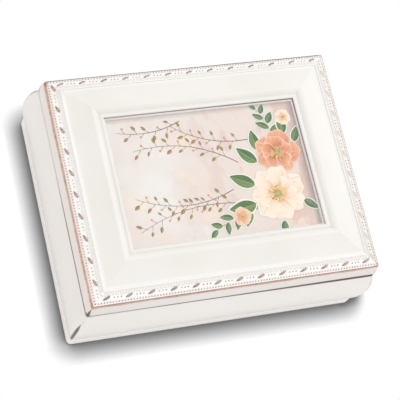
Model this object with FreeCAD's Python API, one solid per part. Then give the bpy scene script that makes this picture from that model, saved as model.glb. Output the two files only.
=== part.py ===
import FreeCAD, Part
import math
import os

os.makedirs("parts", exist_ok=True)
V = FreeCAD.Vector

# Keepsake box with a hinged picture-frame lid, in mm.
# X is the width, +Y the back with the hinges, +Z is up, and z = 0 is the table.

# Lid frame, measured at the arris around its top edge
LID_W = 152.4           # arris to arris, left to right
LID_D = 120.0           # arris to arris, front to back
SKIRT_H = 11.0          # lower edge of the lid up to the arris
SKIRT_FLARE = 1.05      # lower edge stands out past the arris
SKIRT_BOW = 0.85        # overhang halfway up the skirt, which rounds in to the arris
LID_CORNER_R = 1.0      # rounding of the lid's upright corners
RIM_W = 9.0             # width of the lid's solid rim at its lower edge
BAND_W = 6.0            # ornament band, from the arris inwards
BAND_RISE = 2.9         # how far the band climbs over its width
FILLET_BEAD = 0.45      # small ridge that closes the band
PANEL_W = 12.0          # scooped panel between the ridge and the crest
CREST_RISE = 6.4        # crest above the arris
SCOOP = 0.45            # sag of the panel below its chord
COVE_W = 3.4            # rounded fall from the crest to the groove
COVE_FALL = 1.75
GROOVE_W = 0.5          # groove outside the inner lip
LIP_W = 1.9             # raised inner lip around the picture
LIP_RISE = 0.45         # lip above the groove
LIP_EDGE = 1.1          # depth of the lip's inner edge, down to the pane

# Lozenge ornaments on the band
LOZENGE_L = 4.3
LOZENGE_B = 1.6
LOZENGE_H = 0.45
LOZENGE_FAT = 0.12      # widest point past the middle, as a part of the length
LOZENGE_TAPER = 0.55    # top outline against the foot outline
LOZENGE_SLANT = 22.0    # degrees, against the edge
LOZENGE_U = 3.2         # centre line, from the arris inwards
LOZENGE_PITCH = 11.5
LOZENGE_MARGIN = 5.2    # least distance of the end lozenges from a corner, before the shift
SIDE_SHIFT = 3.5        # the short sides' rows lie this far against the pattern's run

# Picture stack in the lid
REBATE_W = 4.5          # how far the stack reaches under the lip
PANE_T = 1.5
CARD_T = 0.4
BOARD_T = 2.8
LID_LINING_T = 1.6
STACK_CLEAR = 0.2       # play of pane, card and board in the rebate

# Base
BASE_H = 43.8           # table to rim
SEAM = 0.7              # open line between base and lid
RIM_FLARE = 1.2         # rim stands out past the lid's arris
WALL_T = 8.0            # wall at the rim
BULGE = 3.1             # belly of the wall past the rim
BELLY_Z = 23.5          # height of the fullest point
FOOT_FLARE = 0.8        # foot of the belly past the rim
PLINTH_Z = 6.5          # top of the plinth
PLINTH_OUT = 0.55       # plinth past the foot of the belly
PLINTH_EASE = 0.5       # chamfer of the plinth's upper edge
NOTCH = 0.4             # quirk between the plinth and the belly
EDGE_R = 1.2            # rounding of the plinth's lower edge
RIM_R = 0.4             # rounding of the rim's edges
CORNER_EASE = 0.8       # chamfer of the belly's upright corners
PLINTH_CORNER_R = 2.4   # rounding of the plinth's upright corners
LEDGE_W = 6.0           # ledge that the bottom panel is glued to
PANEL_T = 3.0           # bottom panel
PANEL_CLEAR = 0.15
PAD_T = 1.2             # felt pads
PAD_D = 12.0
PAD_INSET = 13.0        # pad centre, from the panel's edges
STAND_OFF = 0.5         # plinth clears the table
LINING_T = 1.5
LINING_DROP = 2.0       # lining ends below the rim
LINING_CLEAR = 0.1
LINING_R = 0.35         # eased edges of the covered cards
BUMPER_D = 6.0
BUMPER_T = 1.2
BUMPER_PROUD = 0.4
BUMPER_X = 60.0         # bumper centres, either side of the middle

# Hinges
HINGE_X = 42.0          # hinge centres, either side of the middle
HINGE_L = 24.0
KNUCKLE_L = 8.0         # middle knuckle, on the upper leaf
KNUCKLE_GAP = 0.3
BARREL_R = 1.6
PIN_R = 0.7
PIN_PRESS = 0.01        # radial play in the lower leaf
PIN_RUN = 0.05          # radial play in the upper leaf
AXIS_INSET = 1.2        # pin centre, in front of the lid's back face
LEAF_D = 6.0            # leaf, from the pin centre forwards
LEAF_T = 0.7
LEAF_GAP = 0.3          # between the closed leaves
BARREL_CLEAR = 0.35
STOP_ANGLE = 51.0       # bevel of each rear edge, which stops the open lid
STOP_CLEAR = 0.2

# Countersunk hinge screws
SCREW_HEAD = 2.8
SCREW_SHANK = 1.5
SCREW_L = 5.5
SCREW_X = 7.0           # either side of the hinge's middle
SCREW_Y = 3.9           # in front of the pin
SCREW_CLEAR = 0.15      # play of the head in the leaf
SINK = 0.05             # screw heads lie this far below the surface

# Levels and places that follow from the sizes above
Z_LID = BASE_H + SEAM
Z_ARRIS = Z_LID + SKIRT_H
U_RIDGE = BAND_W + 2 * FILLET_BEAD
U_CREST = U_RIDGE + PANEL_W
U_GROOVE = U_CREST + COVE_W
U_LIP = U_GROOVE + GROOVE_W
U_SIGHT = U_LIP + LIP_W
Z_CREST = Z_ARRIS + CREST_RISE
Z_GROOVE = Z_CREST - COVE_FALL
Z_PANE = Z_GROOVE + LIP_RISE - LIP_EDGE
Z_LEDGE = Z_PANE - PANE_T - CARD_T - BOARD_T
U_LID_RIM = RIM_W - SKIRT_FLARE
U_REBATE = U_SIGHT - REBATE_W
U_WALL = WALL_T - RIM_FLARE
U_PANEL = U_WALL - LEDGE_W
Z_FOOT = PLINTH_Z + NOTCH
Z_PANEL = PAD_T
Z_FLOOR = Z_PANEL + PANEL_T
AXIS_Y = LID_D / 2 + SKIRT_FLARE - AXIS_INSET
AXIS_Z = BASE_H + SEAM / 2
WALL_X = LID_W / 2 - U_WALL
WALL_Y = LID_D / 2 - U_WALL
FAR = 2 * max(LID_W, LID_D)


def outline(start, *steps):
    """Closed profile in (u, z): a step is an end point, or an arc's mid and end points."""
    at = start
    edges = []
    for step in steps + (start,):
        if isinstance(step[0], tuple):
            mid, end = step
            edges.append(Part.Arc(V(0, *at), V(0, *mid), V(0, *end)).toShape())
        else:
            end = step
            edges.append(Part.makeLine(V(0, *at), V(0, *end)))
        at = end
    return Part.Face(Part.Wire(edges))


def mitred_side(profile, across, along):
    """One side of a ring: the profile swept along the front edge, cut at both mitres."""
    bar = profile.copy()
    bar.translate(V(-FAR / 2, -across / 2, 0))
    bar = bar.extrude(V(FAR, 0, 0))
    reach = min(across, along) / 2 - 0.01
    over = 20.0
    corners = [V(-along / 2 - over, -across / 2 - over, -FAR), V(along / 2 + over, -across / 2 - over, -FAR),
               V(along / 2 - reach, -across / 2 + reach, -FAR), V(-along / 2 + reach, -across / 2 + reach, -FAR)]
    wedge = Part.Face(Part.makePolygon(corners + corners[:1])).extrude(V(0, 0, 2 * FAR))
    return bar.common(wedge)


def mitred_ring(profile, width, depth):
    front = mitred_side(profile, depth, width)
    left = mitred_side(profile, width, depth)
    left.rotate(V(0, 0, 0), V(0, 0, 1), -90)
    back = front.mirror(V(0, 0, 0), V(0, 1, 0))
    right = left.mirror(V(0, 0, 0), V(1, 0, 0))
    return front.fuse([back, left, right]).removeSplitter()


def block(half_x, half_y, z0, z1, at=(0, 0)):
    return Part.makeBox(2 * half_x, 2 * half_y, z1 - z0, V(at[0] - half_x, at[1] - half_y, z0))


def rod(radius, x0, x1, y, z):
    return Part.makeCylinder(radius, x1 - x0, V(x0, y, z), V(1, 0, 0))


def prism(points, x0, x1):
    """Solid along X from a polygon in (y, z)."""
    ring = [V(x0, y, z) for y, z in points]
    return Part.Face(Part.makePolygon(ring + ring[:1])).extrude(V(x1 - x0, 0, 0))


def screw(at, up):
    """Countersunk screw with its head just below a surface point."""
    head = SCREW_HEAD / 2
    shank = SCREW_SHANK / 2
    neck = -SINK - head + shank
    points = [V(0, 0, -SINK), V(head, 0, -SINK), V(shank, 0, neck), V(shank, 0, -SCREW_L), V(0, 0, -SCREW_L)]
    body = Part.Face(Part.makePolygon(points + points[:1])).revolve(V(0, 0, 0), V(0, 0, 1), 360)
    if not up:
        body.rotate(V(0, 0, 0), V(1, 0, 0), 180)
    body.translate(V(*at))
    return body


def countersink(at, up):
    """Conical hole for a screw's head, right through a leaf."""
    over = SCREW_CLEAR
    wide = SCREW_HEAD / 2 + SCREW_CLEAR + SINK + over
    depth = LEAF_T + 2 * over
    hole = Part.makeCone(wide - depth, wide, depth, V(0, 0, over - depth))
    if not up:
        hole.rotate(V(0, 0, 0), V(1, 0, 0), 180)
    hole.translate(V(*at))
    return hole


def both(values):
    return [sx * values for sx in (-1, 1)]


def stop_bevel(side):
    """Wedge that is cut off a rear edge, above (1) or below (-1) the pin's level."""
    a = math.radians(STOP_ANGLE)
    far = 4 * (AXIS_INSET + BULGE)
    near_z = AXIS_Z + side * STOP_CLEAR / math.cos(a)
    far_z = AXIS_Z + side * (STOP_CLEAR + far * math.sin(a)) / math.cos(a)
    return prism([(AXIS_Y, near_z), (AXIS_Y + far, far_z), (AXIS_Y + far, AXIS_Z)], -FAR / 2, FAR / 2)


def hinge_pocket(x, side):
    """Room for a barrel and one leaf in a rim: side is 1 in the lid and -1 in the base."""
    half = HINGE_L / 2
    barrel = rod(BARREL_R + BARREL_CLEAR, x - half - KNUCKLE_GAP, x + half + KNUCKLE_GAP, AXIS_Y, AXIS_Z)
    z_in = AXIS_Z + side * (LEAF_GAP / 2 + LEAF_T)
    z_out = AXIS_Z
    leaf = Part.makeBox(HINGE_L, LEAF_D, abs(z_in - z_out), V(x - half, AXIS_Y - LEAF_D, min(z_in, z_out)))
    return barrel.fuse(leaf)


def hinge_screw_points(x, side):
    z = AXIS_Z + side * LEAF_GAP / 2
    return [(x + dx, AXIS_Y - SCREW_Y, z) for dx in both(SCREW_X)]


def hinge_leaf(x, side):
    """Leaf with its knuckles: the middle one on the upper leaf, the outer two on the lower."""
    half = HINGE_L / 2
    inner = KNUCKLE_L / 2
    z0 = AXIS_Z + side * LEAF_GAP / 2
    z1 = z0 + side * LEAF_T
    leaf = Part.makeBox(HINGE_L, LEAF_D, LEAF_T, V(x - half, AXIS_Y - LEAF_D, min(z0, z1)))
    middle = (x - inner, x + inner)
    outer = [(x - half, x - inner - KNUCKLE_GAP), (x + inner + KNUCKLE_GAP, x + half)]
    own = [middle] if side > 0 else outer
    other = outer if side > 0 else [middle]
    for x0, x1 in own:
        leaf = leaf.fuse(rod(BARREL_R, x0, x1, AXIS_Y, AXIS_Z))
    for x0, x1 in other:
        room = rod(BARREL_R + BARREL_CLEAR, x0 - KNUCKLE_GAP, x1 + KNUCKLE_GAP, AXIS_Y, AXIS_Z)
        leaf = leaf.cut(room)
    play = PIN_RUN if side > 0 else PIN_PRESS
    leaf = leaf.cut(rod(PIN_R + play, x - HINGE_L, x + HINGE_L, AXIS_Y, AXIS_Z))
    for at in hinge_screw_points(x, side):
        leaf = leaf.cut(countersink(at, side < 0))
    return leaf.removeSplitter()


def hinge_pin(x):
    return rod(PIN_R, x - HINGE_L / 2, x + HINGE_L / 2, AXIS_Y, AXIS_Z)


def belly_profile():
    """Wall of the base above the plinth in (u, z): bombe outside, straight inside."""
    foot = -RIM_FLARE - FOOT_FLARE
    return outline(
        (-RIM_FLARE, BASE_H),
        ((-RIM_FLARE - BULGE, BELLY_Z), (foot, Z_FOOT)),
        (U_WALL, Z_FOOT),
        (U_WALL, BASE_H),
    )


def lid_profile():
    """Frame moulding of the lid in (u, z), from the skirt over the crest to the rebate."""
    z_ridge = Z_ARRIS + BAND_RISE
    chord = (U_CREST - U_RIDGE, Z_CREST - z_ridge)
    run = math.hypot(*chord)
    scoop = ((U_RIDGE + U_CREST) / 2 + SCOOP * chord[1] / run, (z_ridge + Z_CREST) / 2 - SCOOP * chord[0] / run)
    cove = (U_CREST + COVE_W * 0.62, Z_CREST - COVE_FALL * 0.3)
    z_lip = Z_GROOVE + LIP_RISE
    return outline(
        (-SKIRT_FLARE, Z_LID),
        ((-SKIRT_BOW, (Z_LID + Z_ARRIS) / 2), (0, Z_ARRIS)),
        (BAND_W, z_ridge),
        ((BAND_W + FILLET_BEAD, z_ridge + FILLET_BEAD), (U_RIDGE, z_ridge)),
        (scoop, (U_CREST, Z_CREST)),
        (cove, (U_GROOVE, Z_GROOVE)),
        (U_LIP, Z_GROOVE),
        ((U_LIP + LIP_W / 2, z_lip), (U_SIGHT, Z_GROOVE)),
        (U_SIGHT, Z_PANE),
        (U_REBATE, Z_PANE),
        (U_REBATE, Z_LEDGE),
        (U_LID_RIM, Z_LEDGE),
        (U_LID_RIM, Z_LID),
    )


def lozenge(x):
    """Kite-shaped lozenge on the front band, with bevelled sides and its fat end inwards."""
    slope = math.degrees(math.atan2(BAND_RISE, BAND_W))
    rings = []
    for scale, z in ((1.0, -LOZENGE_H), (1.0, 0.0), (LOZENGE_TAPER, LOZENGE_H)):
        half_l = scale * LOZENGE_L / 2
        half_b = scale * LOZENGE_B / 2
        fat = scale * LOZENGE_L * LOZENGE_FAT
        kite = [V(-half_l, 0, z), V(fat, -half_b, z), V(half_l, 0, z), V(fat, half_b, z)]
        rings.append(Part.makePolygon(kite + kite[:1]))
    leaf = Part.makeLoft(rings, True, True)
    leaf.rotate(V(0, 0, 0), V(0, 0, 1), LOZENGE_SLANT)
    leaf.rotate(V(0, 0, 0), V(1, 0, 0), slope)
    leaf.translate(V(x, -LID_D / 2 + LOZENGE_U, Z_ARRIS + BAND_RISE * LOZENGE_U / BAND_W))
    return leaf


def lozenge_row(length, shift):
    """Places of the lozenges along a side, evenly about a point near its middle."""
    count = int((length - 2 * LOZENGE_MARGIN) / LOZENGE_PITCH) + 1
    return [(i - (count - 1) / 2) * LOZENGE_PITCH - shift for i in range(count)]


def lozenges():
    """The pattern runs round the frame in one sense, so each side is the front one turned."""
    pieces = []
    for turn in (0, 90, 180, 270):
        long_side = turn % 180 == 0
        length, across = (LID_W, LID_D) if long_side else (LID_D, LID_W)
        for x in lozenge_row(length, 0 if long_side else SIDE_SHIFT):
            leaf = lozenge(x)
            leaf.translate(V(0, (LID_D - across) / 2, 0))
            leaf.rotate(V(0, 0, 0), V(0, 0, 1), turn)
            pieces.append(leaf)
    return pieces


def corner_edges(shape, height):
    """Upright edges at the four outer corners of a ring, over about this height."""
    found = []
    for edge in shape.Edges:
        box = edge.BoundBox
        out = min(abs(box.Center.x) - LID_W / 2, abs(box.Center.y) - LID_D / 2)
        if out > 0 and box.ZLength > 0.9 * height:
            found.append(edge)
    return found


def level_edges(shape, z, inside=(0, 0)):
    """Edges that lie at one level, outside a rectangle given by its half sides."""
    found = []
    for edge in shape.Edges:
        box = edge.BoundBox
        out = abs(box.Center.x) > inside[0] or abs(box.Center.y) > inside[1]
        if out and abs(box.ZMin - z) < 1e-4 and abs(box.ZMax - z) < 1e-4:
            found.append(edge)
    return found


HINGES = {"left": -HINGE_X, "right": HINGE_X}
LINING_HALF = (LID_W / 2 - U_LID_RIM - LINING_CLEAR, LID_D / 2 - U_LID_RIM - LINING_CLEAR)
Z_LINING = Z_LEDGE - LID_LINING_T
BUMPER_Y = -(LID_D / 2 + RIM_FLARE - WALL_T / 2)


def make_plinth():
    """Foot of the base: a rounded block, with a quirk under the belly."""
    flare = RIM_FLARE + FOOT_FLARE
    plinth = block(LID_W / 2 + flare + PLINTH_OUT, LID_D / 2 + flare + PLINTH_OUT, STAND_OFF, PLINTH_Z)
    plinth = plinth.makeFillet(PLINTH_CORNER_R, corner_edges(plinth, PLINTH_Z - STAND_OFF))
    plinth = plinth.makeFillet(EDGE_R, level_edges(plinth, STAND_OFF))
    plinth = plinth.makeChamfer(PLINTH_EASE, level_edges(plinth, PLINTH_Z))
    quirk = block(LID_W / 2 + flare - NOTCH, LID_D / 2 + flare - NOTCH, PLINTH_Z - EDGE_R, Z_FOOT)
    inside = block(WALL_X, WALL_Y, 0, BASE_H)
    rebate = block(LID_W / 2 - U_PANEL, LID_D / 2 - U_PANEL, 0, Z_FLOOR)
    return plinth.fuse(quirk).cut([inside, rebate])


def make_base_shell():
    belly = mitred_ring(belly_profile(), LID_W, LID_D).Solids[0]
    belly = belly.makeChamfer(CORNER_EASE, corner_edges(belly, BASE_H - Z_FOOT))
    belly = belly.makeFillet(RIM_R, level_edges(belly, BASE_H, (WALL_X + RIM_R, WALL_Y + RIM_R)))
    shell = belly.fuse(make_plinth()).removeSplitter()
    cuts = [stop_bevel(-1)]
    for x in HINGES.values():
        cuts.append(hinge_pocket(x, -1))
        cuts += [screw(at, True) for at in hinge_screw_points(x, -1)]
    for x in both(BUMPER_X):
        cuts.append(Part.makeCylinder(BUMPER_D / 2, BUMPER_T, V(x, BUMPER_Y, BASE_H + BUMPER_PROUD - BUMPER_T)))
    return shell.cut(cuts)


def make_bottom_panel():
    half_x = LID_W / 2 - U_PANEL - PANEL_CLEAR
    half_y = LID_D / 2 - U_PANEL - PANEL_CLEAR
    return block(half_x, half_y, Z_PANEL, Z_FLOOR)


def make_foot_pads():
    pads = []
    for x in both(LID_W / 2 - U_PANEL - PAD_INSET):
        for y in both(LID_D / 2 - U_PANEL - PAD_INSET):
            pads.append(Part.makeCylinder(PAD_D / 2, PAD_T, V(x, y, 0)))
    return Part.makeCompound(pads)


def soft_edged(box):
    return box.makeChamfer(LINING_R, box.Edges)


def make_linings():
    z0 = Z_FLOOR + LINING_T
    z1 = BASE_H - LINING_DROP
    half_x = WALL_X - LINING_CLEAR
    half_y = WALL_Y - LINING_CLEAR
    long_y = half_y - LINING_T / 2
    short_x = half_x - LINING_T / 2
    short_half = half_y - LINING_T - LINING_CLEAR
    return {
        "lining_floor": soft_edged(block(half_x, half_y, Z_FLOOR, z0)),
        "lining_front": soft_edged(block(half_x, LINING_T / 2, z0, z1, (0, -long_y))),
        "lining_back": soft_edged(block(half_x, LINING_T / 2, z0, z1, (0, long_y))),
        "lining_left": soft_edged(block(LINING_T / 2, short_half, z0, z1, (-short_x, 0))),
        "lining_right": soft_edged(block(LINING_T / 2, short_half, z0, z1, (short_x, 0))),
    }


def make_rim_bumpers():
    z0 = BASE_H + BUMPER_PROUD - BUMPER_T
    return Part.makeCompound([Part.makeCylinder(BUMPER_D / 2, BUMPER_T, V(x, BUMPER_Y, z0)) for x in both(BUMPER_X)])


def make_lid_frame():
    frame = mitred_ring(lid_profile(), LID_W, LID_D).Solids[0]
    frame = frame.makeFillet(LID_CORNER_R, corner_edges(frame, SKIRT_H))
    frame = frame.fuse(lozenges())
    cuts = [stop_bevel(1)]
    for x in HINGES.values():
        cuts.append(hinge_pocket(x, 1))
        cuts += [screw(at, False) for at in hinge_screw_points(x, 1)]
    return frame.cut(cuts)


def make_picture_stack():
    half_x = LID_W / 2 - U_REBATE - STACK_CLEAR
    half_y = LID_D / 2 - U_REBATE - STACK_CLEAR
    z_card = Z_PANE - PANE_T
    z_board = z_card - CARD_T
    return {
        "pane": block(half_x, half_y, z_card, Z_PANE),
        "picture_card": block(half_x, half_y, z_board, z_card),
        "backing_board": block(half_x, half_y, Z_LEDGE, z_board),
        "lid_lining": soft_edged(block(*LINING_HALF, Z_LINING, Z_LEDGE)),
    }


def make_screws():
    lower = [screw(at, True) for x in HINGES.values() for at in hinge_screw_points(x, -1)]
    upper = [screw(at, False) for x in HINGES.values() for at in hinge_screw_points(x, 1)]
    return {"hinge_screws_lower": Part.makeCompound(lower), "hinge_screws_upper": Part.makeCompound(upper)}


parts = {
    "base_shell": make_base_shell(),
    "bottom_panel": make_bottom_panel(),
    "foot_pads": make_foot_pads(),
    "rim_bumpers": make_rim_bumpers(),
    "lid_frame": make_lid_frame(),
}
parts.update(make_linings())
parts.update(make_picture_stack())
parts.update(make_screws())
for name, x in HINGES.items():
    parts["hinge_leaf_lower_" + name] = hinge_leaf(x, -1)
    parts["hinge_leaf_upper_" + name] = hinge_leaf(x, 1)
    parts["hinge_pin_" + name] = hinge_pin(x)

for name, shape in parts.items():
    shape.exportStep("parts/" + name + ".step")
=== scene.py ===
import bmesh
import bpy
import itertools
import math
import random
from mathutils import Matrix, Quaternion, Vector


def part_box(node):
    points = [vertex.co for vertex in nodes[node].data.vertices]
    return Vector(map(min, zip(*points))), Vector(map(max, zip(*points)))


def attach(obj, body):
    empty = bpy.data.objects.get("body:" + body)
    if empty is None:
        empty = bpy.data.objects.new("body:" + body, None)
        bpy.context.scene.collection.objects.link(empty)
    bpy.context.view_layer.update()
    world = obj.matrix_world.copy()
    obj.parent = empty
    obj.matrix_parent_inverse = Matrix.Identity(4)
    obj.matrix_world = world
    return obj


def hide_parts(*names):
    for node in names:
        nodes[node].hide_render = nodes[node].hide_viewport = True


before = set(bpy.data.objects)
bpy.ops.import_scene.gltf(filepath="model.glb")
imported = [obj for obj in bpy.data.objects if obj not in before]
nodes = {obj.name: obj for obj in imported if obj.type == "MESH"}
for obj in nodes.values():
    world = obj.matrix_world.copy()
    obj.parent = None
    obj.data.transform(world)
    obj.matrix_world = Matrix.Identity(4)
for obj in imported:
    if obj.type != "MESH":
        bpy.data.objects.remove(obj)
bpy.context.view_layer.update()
MM = 0.001

# Sizes that the CAD model shares, in metres
SKIRT_H = 11.0 * MM
SKIRT_FLARE = 1.05 * MM
BAND_W = 6.0 * MM
BAND_RISE = 2.9 * MM
LOZENGE_U = 3.2 * MM
LOZENGE_PITCH = 11.5 * MM
LOZENGE_MARGIN = 5.2 * MM
LOZENGE_SLANT = math.radians(22.0)
SIDE_SHIFT = 3.5 * MM
RIM_FLARE = 1.2 * MM
BULGE = 3.1 * MM
BELLY_Z = 23.5 * MM

lid_lo, lid_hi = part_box("lid_frame")
HALF_W = lid_hi.x - SKIRT_FLARE
HALF_D = lid_hi.y - SKIRT_FLARE
Z_LID = lid_lo.z
Z_ARRIS = Z_LID + SKIRT_H
Z_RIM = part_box("base_shell")[1].z
Z_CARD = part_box("picture_card")[1].z
SLOPE = math.atan2(BAND_RISE, BAND_W)
SIGHT_X = 51.5 * MM         # half of the picture opening, and the level of its edge
SIGHT_Y = 35.3 * MM
Z_SIGHT = 60.15 * MM

# Seeds of the random draws
BORDER_DRAWS = 11
PRINT_DRAWS = 5

# Small ornament, too fine for the CAD model
BEAD_U = 1.35 * MM          # row of beads along the arris
BEAD_PITCH = 1.5 * MM
BEAD_R = 0.6 * MM
BEAD_H = 0.42 * MM
SEED_PITCH = 1.75 * MM      # three dark seeds between lozenges
SEED_R = 0.4 * MM
SEED_H = 0.25 * MM
STUD_ROWS = (4.5 * MM, 5.5 * MM)
STUD_PITCH = 1.35 * MM
STUD_R = 0.5 * MM
STUD_H = 0.2 * MM
LEAF_L = 4.25 * MM          # painted leaf on each lozenge
LEAF_B = 1.7 * MM
LEAF_H = 0.6 * MM
PIT_R = 0.45 * MM           # dark pit between two beads
PIT_H = 0.3 * MM

# Sheet and slip, drawn in the place of the thicker pane
SHEET_T = 0.35 * MM
SHEET_EASE = 0.15 * MM
SLIP_GAP = 0.05 * MM        # between the sheet and the slip
SLIP_LEAN = 1.2 * MM        # how far the slip reaches in over the card
SLIP_HIDDEN = 1.0 * MM      # how far it reaches out under the lip

# Pads and bumpers
PAD_EASE = 0.35 * MM
BUMPER_EASE = 0.3 * MM
DISC_FIT = 0.99             # share of the solid's radius that the rolled disc takes up

# The lid's sides, as turns from the front in degrees
FRONT = 0
RIGHT = 90
BACK = 180
LEFT = 270

# Camera, solved from the photograph's perspective
CAMERA_AT = Vector((-277.6, -260.1, 787.0)) * MM
CAMERA_AIM = Vector((-10.05, -12.6, 55.5)) * MM
CAMERA_ROLL = math.radians(36.88)
CAMERA_LENS = 146.4
CAMERA_SENSOR = 36.0

# Light: one soft lamp at the back right, under an even sky
KEY_AT = Vector((0.9, 0.35, 1.2))
KEY_AIM = Vector((0, 0, 0.03))
KEY_SIZE = 0.4
KEY_POWER = 4.5
SKY_COLOUR = (1.0, 0.995, 0.985, 1)
SKY_STRENGTH = 0.95

# The box's shadow on the floor
SHADOW_REACH = 10.6 * MM
SHADOW_AHEAD = 1.3 * MM     # further reach in front of the box
SHADOW_ASIDE = 1.6 * MM     # further reach at its front right corner
SHADOW_DEPTH = 2.0
SHADOW_DEPTH_RIGHT = 2.2    # added at the right, and at the front right corner
SHADOW_DEPTH_ASIDE = 3.4
SHADOW_CURVE = 0.67
SHADOW_TONE = (0.165, 0.165, 0.165, 1)

# Colour sockets of the mix node, and samples of the edge and shadow nodes
MIX_FIRST = 6
MIX_SECOND = 7
MIX_RESULT = 2
EDGE_SAMPLES = 6
SHADOW_SAMPLES = 24

# Gloss of the paint and of the paper
PAINT = {"Specular IOR Level": 0.4}
PAPER = {"Roughness": 0.6, "Specular IOR Level": 0.2}

# Colours, linear
IVORY = (0.84, 0.82, 0.785, 1)
IVORY_DEEP = (0.80, 0.775, 0.735, 1)
IVORY_RIDGE_SHADE = (0.70, 0.69, 0.675, 1)
IVORY_ROSY = (0.89, 0.835, 0.815, 1)
IVORY_PAINTED_LIGHT = (0.97, 0.94, 0.92, 1)
GLAZE = (0.84, 0.745, 0.705, 1)
# White paint, also used as a painted highlight
CHALK_AND_HIGHLIGHT = (0.97, 0.962, 0.945, 1)
COPPER = (0.60, 0.30, 0.19, 1)
COPPER_HIGHLIGHT = (0.86, 0.57, 0.45, 1)
COPPER_DARK = (0.52, 0.25, 0.175, 1)
COPPER_GLINT = (0.82, 0.46, 0.31, 1)
UMBER_WEAR_AND_SHADE = (0.16, 0.095, 0.07, 1)
STAIN_AND_SHADE = (0.50, 0.37, 0.29, 1)
RUST = (0.34, 0.18, 0.12, 1)
SOOT = (0.075, 0.05, 0.04, 1)
PLUM = (0.15, 0.075, 0.11, 1)
PLUM_LINE = (0.24, 0.07, 0.16, 1)
OXBLOOD_WEAR_AND_SHADE = (0.15, 0.066, 0.048, 1)
CHESTNUT = (0.15, 0.062, 0.045, 1)
WASH = (0.82, 0.755, 0.72, 1)
WASH_PALE = (0.85, 0.825, 0.795, 1)
WASH_ROSE = (0.81, 0.665, 0.605, 1)
WASH_PEACH = (0.88, 0.69, 0.56, 1)
WASH_CREAM = (0.90, 0.79, 0.68, 1)
WASH_MAUVE = (0.66, 0.44, 0.37, 1)
WASH_LIGHT = (0.88, 0.865, 0.85, 1)
LIP_SHADOW_ON_CARD = (0.46, 0.36, 0.34, 1)
PAPER_FIBRE = (0.95, 0.92, 0.9, 1)
PAPER_BARE = (0.93, 0.91, 0.89, 1)
CLEAR = (0.97, 0.98, 0.98, 1)
CLEAR_WARM = (0.99, 0.99, 0.98, 1)
VELVET = (0.38, 0.27, 0.2, 1)
VELVET_NAP = (0.44, 0.32, 0.24, 1)
VELVET_DEEP = (0.27, 0.185, 0.13, 1)
VELVET_SHEEN = (0.95, 0.86, 0.76, 1)
FELT = (0.17, 0.12, 0.09, 1)
FELT_DEEP = (0.075, 0.05, 0.036, 1)
FELT_PALE = (0.2, 0.145, 0.11, 1)
RUBBER = (0.55, 0.5, 0.43, 1)
RUBBER_DUSTY = (0.63, 0.58, 0.51, 1)
BRASS = (0.76, 0.55, 0.27, 1)
BRASS_DULL = (0.42, 0.27, 0.12, 1)
WHITE = (1, 1, 1, 1)
FLOOR = (0.93, 0.93, 0.93, 1)
FLOOR_PALE = (0.95, 0.95, 0.95, 1)
# Boards: pale, dark and flecks. Inks: light and dark streaks
HARDBOARD = ((0.30, 0.19, 0.11, 1), (0.19, 0.115, 0.065, 1), (0.1, 0.06, 0.035, 1))
GREYBOARD = ((0.46, 0.44, 0.4, 1), (0.36, 0.34, 0.31, 1), (0.2, 0.19, 0.18, 1))
PETAL_INK = ((0.97, 0.90, 0.80, 1), (0.70, 0.30, 0.14, 1))
LEAF_INK = ((0.40, 0.47, 0.24, 1), (0.05, 0.10, 0.04, 1))


class Num:
    """A value in a node tree. Arithmetic on it adds nodes, so that masks read as formulas."""

    def __init__(self, tree, socket):
        self.tree = tree
        self.socket = socket

    def math(self, operation, *others):
        node = self.tree.nodes.new("ShaderNodeMath")
        node.operation = operation
        for at, value in enumerate((self,) + others):
            feed(self.tree, value, node.inputs[at])
        return Num(self.tree, node.outputs[0])

    def __add__(self, other):
        return self.math("ADD", other)

    def __sub__(self, other):
        return self.math("SUBTRACT", other)

    def __mul__(self, other):
        return self.math("MULTIPLY", other)

    def flip(self, whole=1.0):
        return (self * -1.0) + whole

    def size(self):
        return self.math("ABSOLUTE")

    def least(self, other):
        return self.math("MINIMUM", other)

    def most(self, other):
        return self.math("MAXIMUM", other)

    def power(self, other):
        return self.math("POWER", other)

    def fade(self, start, end):
        """0 at start, 1 at end, with soft ends."""
        node = self.tree.nodes.new("ShaderNodeMapRange")
        node.interpolation_type = "SMOOTHSTEP"
        feed(self.tree, self, node.inputs["Value"])
        feed(self.tree, start, node.inputs["From Min"])
        feed(self.tree, end, node.inputs["From Max"])
        return Num(self.tree, node.outputs["Result"])

    def between(self, start, full, last, end):
        """1 from full to last, and 0 before start and past end."""
        return self.fade(start, full) * self.fade(end, last)


def feed(tree, value, socket):
    if isinstance(value, Num):
        tree.links.new(value.socket, socket)
    else:
        socket.default_value = value


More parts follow.
